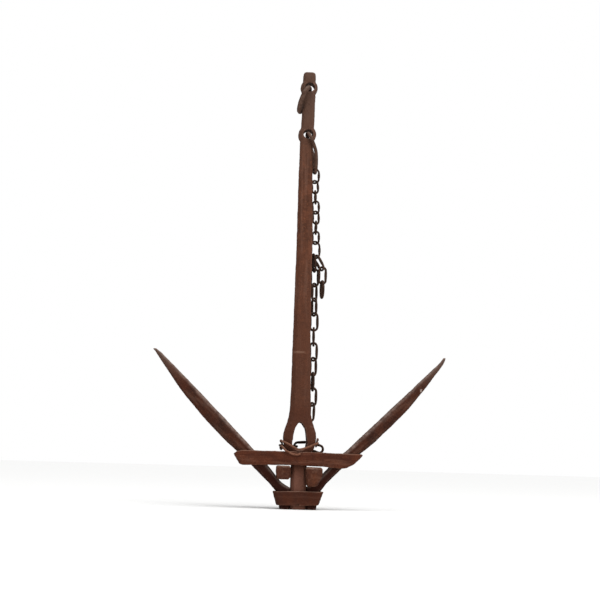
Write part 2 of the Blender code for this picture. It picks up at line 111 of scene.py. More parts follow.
class Bench:
    """Steps at the workbench: picking pieces up, choosing parts of them and finishing them."""

    @staticmethod
    def clear() -> None:
        """Leave edit mode and let go of everything."""
        if bpy.context.object and bpy.context.object.mode != "OBJECT":
            bpy.ops.object.mode_set(mode="OBJECT")
        bpy.ops.object.select_all(action="DESELECT")

    @staticmethod
    def take(piece: Piece) -> Piece:
        """Make a piece the only one chosen.

        Args:
            piece: The piece to work on.

        Returns:
            The same piece.
        """
        Bench.clear()
        piece.select_set(True)
        bpy.context.view_layer.objects.active = piece
        return piece

    @staticmethod
    def settle(piece: Piece) -> Piece:
        """Put a piece's place, turn and size into its mesh.

        Args:
            piece: The piece to settle.

        Returns:
            The same piece, with its object at the origin.
        """
        Bench.take(piece)
        bpy.ops.object.transform_apply(location=True, rotation=True, scale=True)
        return piece

    @staticmethod
    @contextmanager
    def shaping(piece: Piece) -> Iterator[None]:
        """Work on a piece in edit mode, starting with nothing chosen.

        Args:
            piece: The piece to shape.
        """
        Bench.take(piece)
        bpy.ops.object.mode_set(mode="EDIT")
        bpy.ops.mesh.select_all(action="DESELECT")
        yield
        bpy.ops.mesh.select_all(action="SELECT")
        bpy.ops.mesh.normals_make_consistent(inside=False)
        bpy.ops.object.mode_set(mode="OBJECT")

    @staticmethod
    def choose_points(piece: Piece, test: Callable[[Vector], bool]) -> None:
        """Choose the vertices whose place passes a test.

        Args:
            piece: The piece in edit mode.
            test: Says of a place whether its vertex is chosen.
        """
        bpy.ops.mesh.select_mode(type="VERT")
        mesh = bmesh.from_edit_mesh(piece.data)
        for vertex in mesh.verts:
            vertex.select_set(test(vertex.co))
        mesh.select_flush_mode()
        bmesh.update_edit_mesh(piece.data)

    @staticmethod
    def modify(piece: Piece, kind: str, **settings: object) -> None:
        """Give a piece a modifier and apply it.

        Args:
            piece: The piece to change.
            kind: The modifier's type.
            settings: The modifier's properties.
        """
        Bench.take(piece)
        modifier = piece.modifiers.new(kind.lower(), kind)
        for name, value in settings.items():
            setattr(modifier, name, value)
        bpy.ops.object.modifier_apply(modifier=modifier.name)

    @staticmethod
    def bevel(piece: Piece, width: float, angle: float) -> None:
        """Round a piece's edges that bend by more than an angle."""
        Bench.modify(piece, "BEVEL", width=width, segments=4, limit_method="ANGLE", angle_limit=angle)

    @staticmethod
    def combine(piece: Piece, tool: Piece, operation: str) -> None:
        """Cut a tool shape out of a piece, weld it on or keep what both fill, and remove the tool."""
        Bench.modify(piece, "BOOLEAN", operation=operation, solver="EXACT", object=tool)
        bpy.data.objects.remove(tool, do_unlink=True)

    @staticmethod
    def smooth(piece: Piece) -> None:
        """Shade a piece's faces as one rounded surface."""
        Bench.take(piece)
        bpy.ops.object.shade_smooth()

    @staticmethod
    def press_in(piece: Piece, box: tuple[Vector, Vector]) -> None:
        """Hammer a piece's high spots back to the sides of a box.

        Args:
            piece: The piece.
            box: The box's lowest and highest corners.
        """
        for axis, limits in enumerate(zip(*box)):
            for side, limit in zip((-1, 1), limits):
                if all(side * (vertex.co[axis] - limit) <= 0 for vertex in piece.data.vertices):
                    continue
                flat, centre = Vector((1, 1, 1)), Vector()
                flat[axis], centre[axis] = 0, limit
                with Bench.shaping(piece):
                    Bench.choose_points(piece, lambda p: side * (p[axis] - limit) > 0)
                    bpy.ops.transform.resize(value=flat, center_override=centre)

    @staticmethod
    def block(name: str, low: Vector, high: Vector) -> Piece:
        """Saw a block between two corners.

        Args:
            name: The piece's name.
            low: The lowest corner.
            high: The highest corner.

        Returns:
            The block.
        """
        Bench.clear()
        bpy.ops.mesh.primitive_cube_add(size=1, location=(low + high) / 2, scale=high - low)
        piece = bpy.context.object
        piece.name = name
        return Bench.settle(piece)


@dataclass(frozen=True)
class Section:
    """One level cross-section of a forged bar."""

    x: float
    z: float
    half_width: float
    half_depth: float

    @property
    def middle(self) -> Vector:
        """The section's middle."""
        return Vector((self.x, 0, self.z))


def draw_out(name: str, sections: Sequence[Section], chamfer: float) -> Piece:
    """Draw a bar out of a flat blank, one extrusion for each section.

    Args:
        name: The piece's name.
        sections: The sections from the lowest up.
        chamfer: The cut corner, as a share of the half width and half depth.

    Returns:
        The bar, closed at both ends.
    """
    first = sections[0]
    Bench.clear()
    bpy.ops.mesh.primitive_plane_add(size=2, location=first.middle)
    piece = bpy.context.object
    piece.name = name
    Bench.settle(piece)
    with Bench.shaping(piece):
        bpy.ops.mesh.select_all(action="SELECT")
        if chamfer:
            bpy.ops.mesh.bevel(offset=chamfer, segments=1, affect="VERTICES")
            bpy.ops.mesh.select_all(action="SELECT")
        bpy.ops.transform.resize(
            value=(first.half_width, first.half_depth, 1), center_override=first.middle,
        )
        for before, after in pairwise(sections):
            move = {"value": after.middle - before.middle}
            bpy.ops.mesh.extrude_region_move(TRANSFORM_OT_translate=move)
            grow = (after.half_width / before.half_width, after.half_depth / before.half_depth, 1)
            bpy.ops.transform.resize(value=grow, center_override=after.middle)
    return piece


def read_table(table: Table, at: float, column: int = 1) -> float:
    """Read a listed table between its rows.

    Args:
        table: Rows in millimetres, ordered by their first value.
        at: The first value to read at, in metres.
        column: The column to read.

    Returns:
        The value there, in metres.
    """
    keys = [row[0] for row in table]
    values = [row[column] for row in table]
    return float(np.interp(at / MM, keys, values)) * MM


# ---------------------------------------------------------------- surface work

class Pattern(Enum):
    """The marks that can be worked into a face."""

    DENTS = "CLOUDS"
    PITS = "VORONOI"


@dataclass(frozen=True)
class Press:
    """One pattern of hollows and rises in a face; its size and depth are in millimetres."""

    pattern: Pattern
    size: float
    depth: float
    level: float = 0.52
    detail: int = 2

    def mark(self, piece: Piece) -> None:
        """Press the pattern into a piece.

        Args:
            piece: The piece to mark.
        """
        texture = bpy.data.textures.new(self.pattern.name.lower(), self.pattern.value)
        texture.noise_scale = self.size * MM
        if self.pattern is Pattern.DENTS:
            texture.noise_depth = self.detail
        Bench.modify(
            piece, "DISPLACE", texture=texture, texture_coords="LOCAL", strength=self.depth * MM,
            mid_level=self.level,
        )
        bpy.data.textures.remove(texture)


@dataclass(frozen=True)
class Forging:
    """How a piece was worked and how far it has rusted away; the mesh size is in millimetres."""

    mesh_size: float
    rounding: int
    presses: tuple[Press, ...]
    easing: float = 0.5

    def work(self, piece: Piece) -> Piece:
        """Round the edges over and mark the faces.

        Args:
            piece: The sharp-edged piece.

        Returns:
            The same piece.
        """
        Bench.modify(piece, "REMESH", mode="VOXEL", voxel_size=self.mesh_size * MM)
        Bench.modify(piece, "SMOOTH", factor=self.easing, iterations=self.rounding)
        for press in self.presses:
            press.mark(piece)
        Bench.smooth(piece)
        return piece


DENTS, PITS = Pattern.DENTS, Pattern.PITS
HEAVY_FORGING = Forging(2.8, 2, (Press(DENTS, 60, 2.2), Press(DENTS, 14, 1.6), Press(PITS, 9, 0.9)))
ARM_FORGING = Forging(2.4, 2, (Press(DENTS, 55, 2.4), Press(DENTS, 13, 1.6), Press(PITS, 8, 0.9)))
BAND_FORGING = Forging(1.9, 3, (Press(DENTS, 38, 2.6), Press(DENTS, 10, 1.5), Press(PITS, 6, 0.7)))
KEY_FORGING = Forging(1.7, 4, (Press(DENTS, 26, 2.6), Press(DENTS, 8, 1.4), Press(PITS, 5, 0.6)))
BAR_PRESSES = (Press(DENTS, 16, 1.0), Press(DENTS, 5, 0.5))


# ---------------------------------------------------------------- finishes

class Wiring:
    """Places nodes in one tree and joins them."""

    def __init__(self, tree: Tree) -> None:
        """Start on a tree."""
        self.tree = tree

    def add(
        self, kind: str, inputs: dict[str | int, object] | None = None, **settings: object,
    ) -> bpy.types.Node:
        """Place a node, set its properties and fill its sockets.

        Args:
            kind: The node's type.
            inputs: Socket name or number to a value or another node's output.
            settings: The node's properties.

        Returns:
            The node.
        """
        node = self.tree.nodes.new(kind)
        for name, value in settings.items():
            setattr(node, name, value)
        for key, value in (inputs or {}).items():
            if isinstance(value, Socket):
                self.tree.links.new(value, node.inputs[key])
            else:
                node.inputs[key].default_value = value
        return node

    def math(self, operation: str, *values: object) -> Socket:
        """Work out one number from others."""
        return self.add("ShaderNodeMath", dict(enumerate(values)), operation=operation).outputs[0]

    def times(self, first: object, second: object) -> Socket:
        """Multiply two numbers."""
        return self.math("MULTIPLY", first, second)

    def ramp(
        self, value: Socket, low: object, high: object, to_low: float = 0.0, to_high: float = 1.0,
    ) -> Socket:
        """Spread a value from low and high to two new ends, easing in and out."""
        inputs = {"Value": value, "From Min": low, "From Max": high, "To Min": to_low, "To Max": to_high}
        return self.add("ShaderNodeMapRange", inputs, interpolation_type="SMOOTHSTEP").outputs["Result"]

    def blend(self, amount: object, under: object, over: object) -> Socket:
        """Lay one colour over another.

        Args:
            amount: How much of the upper colour shows.
            under: The lower colour.
            over: The upper colour.

        Returns:
            The mixed colour's socket.
        """
        inputs = {0: amount}
        for place, colour in ((6, under), (7, over)):
            inputs[place] = colour if isinstance(colour, Socket) else (*colour, 1.0)
        return self.add("ShaderNodeMix", inputs, data_type="RGBA").outputs[2]

    def noise(self, vector: Socket, scale: object, **sockets: float) -> Socket:
        """Read a cloudy pattern, about 0 to 1; sockets are the node's others, by name."""
        inputs = {"Vector": vector, "Scale": scale, "Detail": 6.0, "Roughness": 0.6, **sockets}
        return self.add("ShaderNodeTexNoise", inputs).outputs["Fac"]

    def split(self, vector: Socket) -> Sockets:
        """Take a vector apart into X, Y and Z."""
        return self.add("ShaderNodeSeparateXYZ", {"Vector": vector}).outputs

    def effect(self, group: Tree, inputs: dict[str | int, object]) -> Sockets:
        """Place a shared effect and hand over its outputs."""
        return self.add("ShaderNodeGroup", inputs, node_tree=group).outputs


FLOAT, VECTOR, COLOUR = "NodeSocketFloat", "NodeSocketVector", "NodeSocketColor"


class Effect(Wiring):
    """A shared effect in the making: a shader node group with named sockets."""

    def __init__(self, name: str, inputs: dict[str, str], outputs: dict[str, str]) -> None:
        """Start the group.

        Args:
            name: The group's name.
            inputs: Input name to socket type.
            outputs: Output name to socket type.
        """
        super().__init__(bpy.data.node_groups.new(name, "ShaderNodeTree"))
        for in_out, sockets in (("INPUT", inputs), ("OUTPUT", outputs)):
            for socket, kind in sockets.items():
                self.tree.interface.new_socket(socket, in_out=in_out, socket_type=kind)
        self.given = self.add("NodeGroupInput").outputs

    def finish(self, results: dict[str | int, object]) -> Tree:
        """Send the results to the group's outputs and hand the group over."""
        self.add("NodeGroupOutput", results)
        return self.tree


def rust_bloom() -> Tree:
    """Make the clouded patches and freckles of old rust.

    Returns:
        The group: Vector, Size, Dark, Middle, Bright and Freckles in; Color and Mask out.
    """
    colours = dict.fromkeys(("Dark", "Middle", "Bright"), COLOUR)
    given = {"Vector": VECTOR, "Size": FLOAT, **colours, "Freckles": FLOAT}
    work = Effect("rust_bloom", given, {"Color": COLOUR, "Mask": FLOAT})
    vector, size = work.given["Vector"], work.given["Size"]
    patch_size, grit_size = work.times(size, 4.3), work.times(size, 19.0)
    broad = work.noise(vector, size, Detail=7.0, Roughness=0.62, Distortion=0.4)
    patches = work.noise(vector, patch_size, Roughness=0.66)
    grit = work.noise(vector, grit_size, Detail=3.0, Roughness=0.7)
    mixed = work.math("ADD", work.times(broad, 0.5), work.times(patches, 0.5))
    mask = work.ramp(mixed, low=0.38, high=0.62)
    freckle = work.times(work.ramp(grit, low=0.54, high=0.68), work.given["Freckles"])
    colour = work.blend(mask, work.given["Dark"], work.given["Middle"])
    return work.finish({"Color": work.blend(freckle, colour, work.given["Bright"]), "Mask": mask})


def flaked_scale() -> Tree:
    """Make the pits and lifted flakes of corroded iron.

    Returns:
        The group: Vector and Size in; Height and Pits out.
    """
    work = Effect("flaked_scale", {"Vector": VECTOR, "Size": FLOAT}, {"Height": FLOAT, "Pits": FLOAT})
    vector, size = work.given["Vector"], work.given["Size"]
    field_size, crust_size, sway = work.times(size, 0.3), work.times(size, 1.7), (0.02, 0.02, 0.02)
    warp = work.add("ShaderNodeTexNoise", {"Vector": vector, "Scale": size, "Detail": 3.0}).outputs["Color"]
    moved = work.add(
        "ShaderNodeVectorMath", {0: warp, 1: sway, 2: vector}, operation="MULTIPLY_ADD",
    ).outputs[0]
    cells = work.add("ShaderNodeTexVoronoi", {"Vector": moved, "Scale": size}).outputs["Distance"]
    fields = work.ramp(work.noise(vector, field_size, Detail=3.0), low=0.46, high=0.62)
    pits = work.times(work.ramp(cells, low=0.12, high=0.42, to_low=1.0, to_high=0.0), fields)
    crust = work.noise(moved, crust_size, Detail=8.0, Roughness=0.72)
    return work.finish({"Height": work.math("SUBTRACT", crust, work.times(pits, 0.5)), "Pits": pits})


def worn_edges() -> Tree:
    """Find the rubbed rims of a piece, and its hollows, where shade is painted in.

    Returns:
        The group: Vector, Reach and Breakup in; Rims and Hollows out.
    """
    work = Effect(
        "worn_edges", {"Vector": VECTOR, "Reach": FLOAT, "Breakup": FLOAT}, {"Rims": FLOAT, "Hollow Shade": FLOAT},
    )
    point = work.add("ShaderNodeNewGeometry").outputs["Pointiness"]    # 0.5 on a flat face
    reach = work.given["Reach"]
    rubbed, bare = work.math("ADD", 0.505, work.times(reach, 0.2)), work.math("ADD", 0.51, reach)
    broken = work.noise(work.given["Vector"], work.given["Breakup"], Detail=5.0, Roughness=0.65)
    rims = work.times(work.ramp(point, rubbed, bare), work.ramp(broken, low=0.4, high=0.6, to_low=0.25))
    # Painted shade: the hollows, where the surface curves inward, are marked to be darkened.
    deep = work.math("SUBTRACT", 0.49, reach)
    return work.finish({"Rims": rims, "Hollow Shade": work.ramp(point, deep, 0.497, to_low=1.0, to_high=0.0)})


def drawn_grain() -> Tree:
    """Make the long slag lines that show in weathered wrought iron.

    Returns:
        The group: Vector and Size in; Lines, Pale and Height out.
    """
    work = Effect(
        "drawn_grain", {"Vector": VECTOR, "Size": FLOAT}, {"Lines": FLOAT, "Pale": FLOAT, "Height": FLOAT},
    )
    vector, size = work.given["Vector"], work.given["Size"]
    lines = work.noise(vector, size, Detail=5.0, Roughness=0.7, Distortion=0.2)
    aside = work.add("ShaderNodeMapping", {"Vector": vector, "Location": (7.0, 3.0, 5.0)}).outputs[0]
    pale = work.ramp(work.noise(aside, work.times(size, 0.6), Detail=3.0), low=0.5, high=0.68)
    return work.finish({"Lines": work.ramp(lines, low=0.44, high=0.6), "Pale": pale, "Height": lines})


def scar() -> Tree:
    """Make one short level scratch, which doesn't reach far into the piece.

    Returns:
        The group: Vector, Middle, Half Length, Half Height and Half Depth in; Mask out.
    """
    reaches = {"X": "Half Length", "Z": "Half Height", "Y": "Half Depth"}
    given = {"Vector": VECTOR, "Middle": VECTOR, **dict.fromkeys(reaches.values(), FLOAT)}
    work = Effect("scar", given, {"Mask": FLOAT})
    vector = work.given["Vector"]
    ends = {0: vector, 1: work.given["Middle"]}
    parts = work.split(work.add("ShaderNodeVectorMath", ends, operation="SUBTRACT").outputs[0])
    along, over, deep = (
        work.math("DIVIDE", work.math("ABSOLUTE", parts[axis]), work.given[reach])
        for axis, reach in reaches.items()
    )
    ragged = work.noise(vector, 90.0, Detail=4.0, Roughness=0.7)
    far = work.math("ADD", work.math("MAXIMUM", work.math("MAXIMUM", along, over), deep), ragged)
    return work.finish({"Mask": work.ramp(far, low=1.0, high=1.6, to_low=1.0, to_high=0.0)})


def dust_and_top_highlight() -> Tree:
    """Find the faces that look up and the rounded edges beside them, where pale dusting lies and a painted
    highlight stands for the light from above.

    Returns:
        The group: Vector, Spread and Breakup in; Mask out.
    """
    work = Effect("dust_and_top_highlight", {"Vector": VECTOR, "Spread": FLOAT, "Breakup": FLOAT}, {"Mask": FLOAT})
    # The bevel's rounded normals spread the mask over the top edges, as a painted highlight that fades
    # inward.
    rounded = work.add("ShaderNodeBevel", {"Radius": work.given["Spread"]}, samples=8).outputs["Normal"]
    facing = work.add(
        "ShaderNodeVectorTransform", {"Vector": rounded}, vector_type="NORMAL", convert_from="WORLD",
        convert_to="OBJECT",
    ).outputs["Vector"]
    level = work.ramp(work.split(facing)["Z"], low=0.05, high=0.65)
    patchy = work.noise(work.given["Vector"], work.given["Breakup"], Roughness=0.7)
    return work.finish({"Mask": work.times(level, work.ramp(patchy, low=0.36, high=0.62, to_low=0.3))})


@dataclass(frozen=True)
class Zone:
    """A change of colour with height, from none at the start to its full share at the end."""

    colour: Colour
    start: float
    end: float
    share: float


@dataclass(frozen=True)
class Scar:
    """A pale scratch in the front."""

    middle: tuple[float, float, float]
    half_length: float
    half_height: float
    share: float = 0.5
    colour: Colour = (0.20, 0.110, 0.075)
    half_depth: float = 30 * MM


@dataclass(frozen=True)
class RustFinish:
    """A rusted iron surface."""

    slot: Slot
    dark: Colour
    middle: Colour
    bright: Colour
    rim: Colour
    # The pale colour of dusting on the faces that look up, also laid there as a painted highlight of the
    # light from above.
    dust_and_highlight: Colour
    patch: float = 9.0
    grain: Grain = Grain.NONE
    grain_show: float = 0.3
    pale_show: float = 0.2
    rim_show: float = 0.6
    dust_and_highlight_show: float = 0.5
    dust_and_highlight_spread: float = 5 * MM
    freckles: float = 0.45
    relief: float = 0.8
    gloss: float = 0.1
    zones: tuple[Zone, ...] = ()
    scars: tuple[Scar, ...] = ()
    scale_size: float = 130.0
    grain_size: float = 120.0
    rim_and_shade_reach: float = 0.05
    rim_breakup: float = 60.0
    dust_and_highlight_breakup: float = 45.0
    pit_show: float = 0.5
    # How much painted shade darkens the hollows, and how dark it is.
    hollow_shade_show: float = 0.65
    hollow_shade: float = 0.4
    roughness: tuple[float, float] = (0.72, 0.93)
    rim_polish: float = 0.2
    rim_metal: float = 0.25
    grain_relief: float = 1.6
    patch_relief: float = 0.25
    bump_depth: float = 1.6 * MM

    def grain_vector(self, wiring: Wiring, place: Socket) -> Socket:
        """Stretch the place along the bar; both arms lean the same way once mirrored.

        Args:
            wiring: The material's wiring.
            place: The object's coordinates.

        Returns:
            The stretched coordinates.
        """
        lean, stretch = self.grain.value
        if lean:
            parts = wiring.split(place)
            mirrored = {"X": wiring.math("ABSOLUTE", parts["X"]), "Y": parts["Y"], "Z": parts["Z"]}
            place = wiring.add("ShaderNodeCombineXYZ", mirrored).outputs["Vector"]
        inputs = {"Vector": place, "Rotation": (0.0, math.radians(lean), 0.0), "Scale": stretch}
        return wiring.add("ShaderNodeMapping", inputs, vector_type="TEXTURE").outputs["Vector"]

    def material(self, groups: dict[str, Tree]) -> bpy.types.Material:
        """Make the finish's material.

        Args:
            groups: The shared effects by name.

        Returns:
            The material.
        """
        made = bpy.data.materials.new(self.slot.value + "_worn")
        made.use_nodes = True
        made.node_tree.nodes.clear()
        wiring = Wiring(made.node_tree)
        place = wiring.add("ShaderNodeTexCoord").outputs["Object"]
        bloom = wiring.effect(groups["rust_bloom"], {
            "Vector": place, "Size": self.patch, "Dark": (*self.dark, 1.0), "Middle": (*self.middle, 1.0),
            "Bright": (*self.bright, 1.0), "Freckles": self.freckles,
        })
        scale = wiring.effect(groups["flaked_scale"], {"Vector": place, "Size": self.scale_size})
        drawn = {"Vector": self.grain_vector(wiring, place), "Size": self.grain_size}
        grain = wiring.effect(groups["drawn_grain"], drawn)
        rubbed = {"Vector": place, "Reach": self.rim_and_shade_reach, "Breakup": self.rim_breakup}
        edges = wiring.effect(groups["worn_edges"], rubbed)
        dust_and_highlight_settings = {"Vector": place, "Spread": self.dust_and_highlight_spread, "Breakup": self.dust_and_highlight_breakup}
        dust_and_highlight = wiring.effect(groups["dust_and_top_highlight"], dust_and_highlight_settings)

        layers = [(grain["Lines"], self.grain_show, self.dark), (grain["Pale"], self.pale_show, self.rim)]
        height = wiring.split(place)["Z"]
        for zone in self.zones:
            layers.append((wiring.ramp(height, zone.start, zone.end), zone.share, zone.colour))
        for cut in self.scars:
            mark = wiring.effect(groups["scar"], {
                "Vector": place, "Middle": cut.middle, "Half Length": cut.half_length,
                "Half Height": cut.half_height, "Half Depth": cut.half_depth,
            })
            layers.append((mark["Mask"], cut.share, cut.colour))
        layers += [
            (scale["Pits"], self.pit_show, self.dark),
            # Painted shade in the hollows.
            (edges["Hollow Shade"], self.hollow_shade_show, tuple(part * self.hollow_shade for part in self.dark)),
            (edges["Rims"], self.rim_show, self.rim),
            # Pale dusting and a painted top highlight on the faces that look up.
            (dust_and_highlight["Mask"], self.dust_and_highlight_show, self.dust_and_highlight),
        ]
        colour = bloom["Color"]
        for mask, share, over in layers:
            colour = wiring.blend(wiring.times(mask, share), colour, over)

        smoothest, roughest = self.roughness
        rough = wiring.ramp(bloom["Mask"], low=0.0, high=1.0, to_low=smoothest, to_high=roughest)
        lines = wiring.times(grain["Height"], self.grain_show * self.grain_relief)
        raised = wiring.math("ADD", scale["Height"], lines)
        relief = wiring.math("ADD", raised, wiring.times(bloom["Mask"], self.patch_relief))
        bump = {"Strength": self.relief, "Distance": self.bump_depth, "Height": relief}
        shader = wiring.add("ShaderNodeBsdfPrincipled", {
            "Base Color": colour,
            "Roughness": wiring.math("SUBTRACT", rough, wiring.times(edges["Rims"], self.rim_polish)),
            "Metallic": wiring.times(edges["Rims"], self.rim_metal),
            "Normal": wiring.add("ShaderNodeBump", bump).outputs["Normal"],
            "Specular IOR Level": self.gloss,
        })
        wiring.add("ShaderNodeOutputMaterial", {"Surface": shader.outputs["BSDF"]})
        return made


# Each finish gives its dark, middle and bright rust, its rubbed rims' colour, and a pale colour for dusting
# and a painted top highlight.
FINISHES = (
    RustFinish(
        Slot.SHANK, (0.060, 0.0215, 0.0112), (0.118, 0.043, 0.0235), (0.170, 0.060, 0.028),
        (0.19, 0.100, 0.070), (0.23, 0.155, 0.125), patch=6.0, grain=Grain.UPRIGHT, grain_show=0.3,
        pale_show=0.25, freckles=0.65, rim_show=0.8,
        zones=(
            Zone((0.078, 0.043, 0.030), 1.26, 1.56, 0.85), Zone((0.064, 0.0240, 0.0135), 1.15, 0.55, 0.6),
            Zone((0.056, 0.0170, 0.0090), 0.41, 0.35, 0.6), Zone((0.150, 0.064, 0.043), 0.17, 0.11, 0.75),
        ),
        scars=(Scar((-0.011, -0.03, 0.592), 0.027, 0.005), Scar((0.014, -0.03, 0.30), 0.012, 0.008, 0.3)),
    ),
    RustFinish(
        Slot.ARM, (0.023, 0.0068, 0.0035), (0.056, 0.0168, 0.0085), (0.11, 0.036, 0.018),
        (0.20, 0.115, 0.082), (0.27, 0.20, 0.17), grain=Grain.SLOPING, grain_show=0.25, pale_show=0.12,
        # The wide spread paints a highlight that fades down from the arms' upper rims.
        dust_and_highlight_show=0.6, dust_and_highlight_spread=15 * MM,
        # The second zone is painted shade: the arms are darkened below 0.20 m, where they sit back between
        # the hoops.
        zones=(Zone((0.092, 0.058, 0.045), 0.44, 0.58, 0.6), Zone((0.022, 0.0045, 0.0020), 0.20, 0.14, 0.9)),
        scars=(Scar((0.463, -0.02, 0.461), 0.005, 0.007, 0.8, (0.34, 0.27, 0.235)),),
    ),
    RustFinish(
        Slot.HOOP, (0.043, 0.0115, 0.0055), (0.083, 0.0245, 0.0120), (0.125, 0.041, 0.020),
        (0.20, 0.095, 0.06), (0.25, 0.16, 0.12), grain=Grain.LEVEL, grain_show=0.5, pale_show=0.22,
        rim_show=0.7,
        zones=(Zone((0.036, 0.0105, 0.0055), 0.12, 0.08, 0.5),),
    ),
    RustFinish(
        Slot.KEY, (0.043, 0.0130, 0.0068), (0.086, 0.0285, 0.0140), (0.125, 0.045, 0.022),
        (0.20, 0.105, 0.068), (0.25, 0.165, 0.125), rim_show=0.7,
    ),
    RustFinish(
        Slot.RING, (0.022, 0.0095, 0.0060), (0.060, 0.0270, 0.0170), (0.100, 0.050, 0.032),
        (0.15, 0.090, 0.066), (0.17, 0.12, 0.095), patch=18.0, relief=0.6,
    ),
    RustFinish(
        Slot.CHAIN, (0.013, 0.0060, 0.0036), (0.034, 0.0155, 0.0095), (0.070, 0.032, 0.019),
        (0.10, 0.056, 0.038), (0.13, 0.088, 0.066), patch=28.0, relief=0.55, dust_and_highlight_show=0.35,
    ),
    RustFinish(
        Slot.WIRE, (0.064, 0.0215, 0.0115), (0.165, 0.062, 0.034), (0.24, 0.100, 0.058),
        (0.28, 0.145, 0.095), (0.27, 0.16, 0.11), patch=30.0, relief=0.4, rim_show=0.4, dust_and_highlight_show=0.3,
    ),
)


class Paintbox:
    """The shared effects and one material for each slot."""

    def __init__(self, limits: tuple[Vector, Vector], body_of: dict[str, str]) -> None:
        """Make every effect and material once.

        Args:
            limits: The corners of the box that every piece keeps inside.
            body_of: The frame's nodes and the body that each belongs to.
        """
        self.limits = limits
        self.body_of = body_of
        effects = (rust_bloom(), flaked_scale(), worn_edges(), drawn_grain(), dust_and_top_highlight(), scar())
        groups = {group.name: group for group in effects}
        self.materials = {finish.slot: finish.material(groups) for finish in FINISHES}

    def dress(self, piece: Piece, slot: Slot, node: str) -> None:
        """Finish a piece and hang it on the frame.

        Args:
            piece: The piece, in its place.
            slot: Its finish.
            node: The frame's node that it stands for.
        """
        Bench.press_in(piece, self.limits)
        piece.data.materials.clear()
        piece.data.materials.append(self.materials[slot])
        Bench.clear()
        body = self.body_of[node]
        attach(piece, body)
        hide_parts(node)
        LOG.info("%s: %d faces, rides on %s", piece.name, len(piece.data.polygons), body)


# ---------------------------------------------------------------- shank

# Rows of a height, and half the width, half the depth or the sway to the right there.
SHANK_WIDTHS: Table = (
    (0, 30), (80, 30), (150, 29.5), (190, 31), (212, 45), (230, 56), (250, 61.5), (268, 62.5), (286, 61),
    (304, 55.5), (324, 48), (346, 42.5), (368, 39.7), (392, 38.5), (514, 35.5), (698, 32.7), (886, 31.2),
    (1045, 30.4), (1296, 26.8), (1420, 26), (1510, 25.6), (1590, 24.4), (1620, 25.2), (1706, 25),
    (1715, 23.6), (1721, 20.5),
)
SHANK_DEPTHS: Table = ((0, 31), (400, 31), (900, 27.5), (1420, 22.4), (1700, 21.5), (1721, 18))
SHANK_SWAY: Table = (
    (430, 0), (640, -2.5), (860, -2.5), (1045, -1.5), (1296, -5), (1420, -4.2), (1463, -3), (1544, -1),
    (1620, 0),
)
EYE_SECTIONS: Table = ((248, 28.5), (260, 26), (275, 25), (290, 22.6), (303, 19.5), (315, 12.5), (325, 5.5))


@dataclass
class Shank:
    """The long bar with its eye and its two pierced bosses."""

    boss_heights: tuple[float, ...] = (1463 * MM, 1658 * MM)
    boss_radii: tuple[float, ...] = (35.5 * MM, 34 * MM)
    hole_radius: float = 18.7 * MM
    hole_offsets: tuple[float, ...] = (0.0, 2 * MM)
    eye_radius: float = 28.5 * MM
    eye_height: float = 248.5 * MM
    hole_sides: int = 48
    boss_steps: int = 9
    chamfer: float = 0.4
    reach: float = 0.1

    def half_width(self, height: float) -> float:
        """Work out half the shank's width, bosses included.

        Args:
            height: The height to read at.

        Returns:
            Half the width there.
        """
        width = read_table(SHANK_WIDTHS, height)
        for centre, radius in zip(self.boss_heights, self.boss_radii):
            if abs(height - centre) < radius:
                width = max(width, math.sqrt(radius ** 2 - (height - centre) ** 2))
        return width

    def heights(self) -> list[float]:
        """List the heights at which a section is drawn.

        Returns:
            The heights, from the lowest up.
        """
        levels = {row[0] * MM for row in (*SHANK_WIDTHS, *SHANK_DEPTHS, *SHANK_SWAY)}
        for centre, radius in zip(self.boss_heights, self.boss_radii):
            half = math.acos(read_table(SHANK_WIDTHS, centre) / radius)
            levels |= {centre + radius * math.sin(a) for a in np.linspace(-half, half, self.boss_steps)}
        return sorted(levels)

    def pierce(self, piece: Piece, height: float, x: float, radius: float) -> None:
        """Punch a round hole from front to back.

        Args:
            piece: The shank.
            height: The hole's height.
            x: How far right of the axis it is.
            radius: Its radius.
        """
        Bench.clear()
        bpy.ops.mesh.primitive_cylinder_add(
            vertices=self.hole_sides, radius=radius, depth=2 * self.reach, location=(x, 0, height),
            rotation=(math.pi / 2, 0, 0),
        )
        Bench.combine(piece, Bench.settle(bpy.context.object), "DIFFERENCE")

    def build(self) -> Piece:
        """Forge the shank.

        Returns:
            The shank.
        """
        sections = [
            Section(read_table(SHANK_SWAY, z), z, self.half_width(z), read_table(SHANK_DEPTHS, z))
            for z in self.heights()
        ]
        piece = draw_out("shank_forging", sections, self.chamfer)
        for height, offset in zip(self.boss_heights, self.hole_offsets):
            self.pierce(piece, height, offset, self.hole_radius)
        self.pierce(piece, self.eye_height, 0, self.eye_radius)
        neck = [Section(0, z * MM, half * MM, self.reach) for z, half in EYE_SECTIONS]
        Bench.combine(piece, draw_out("eye_neck", neck, 0), "DIFFERENCE")
        return HEAVY_FORGING.work(piece)


# ---------------------------------------------------------------- arms

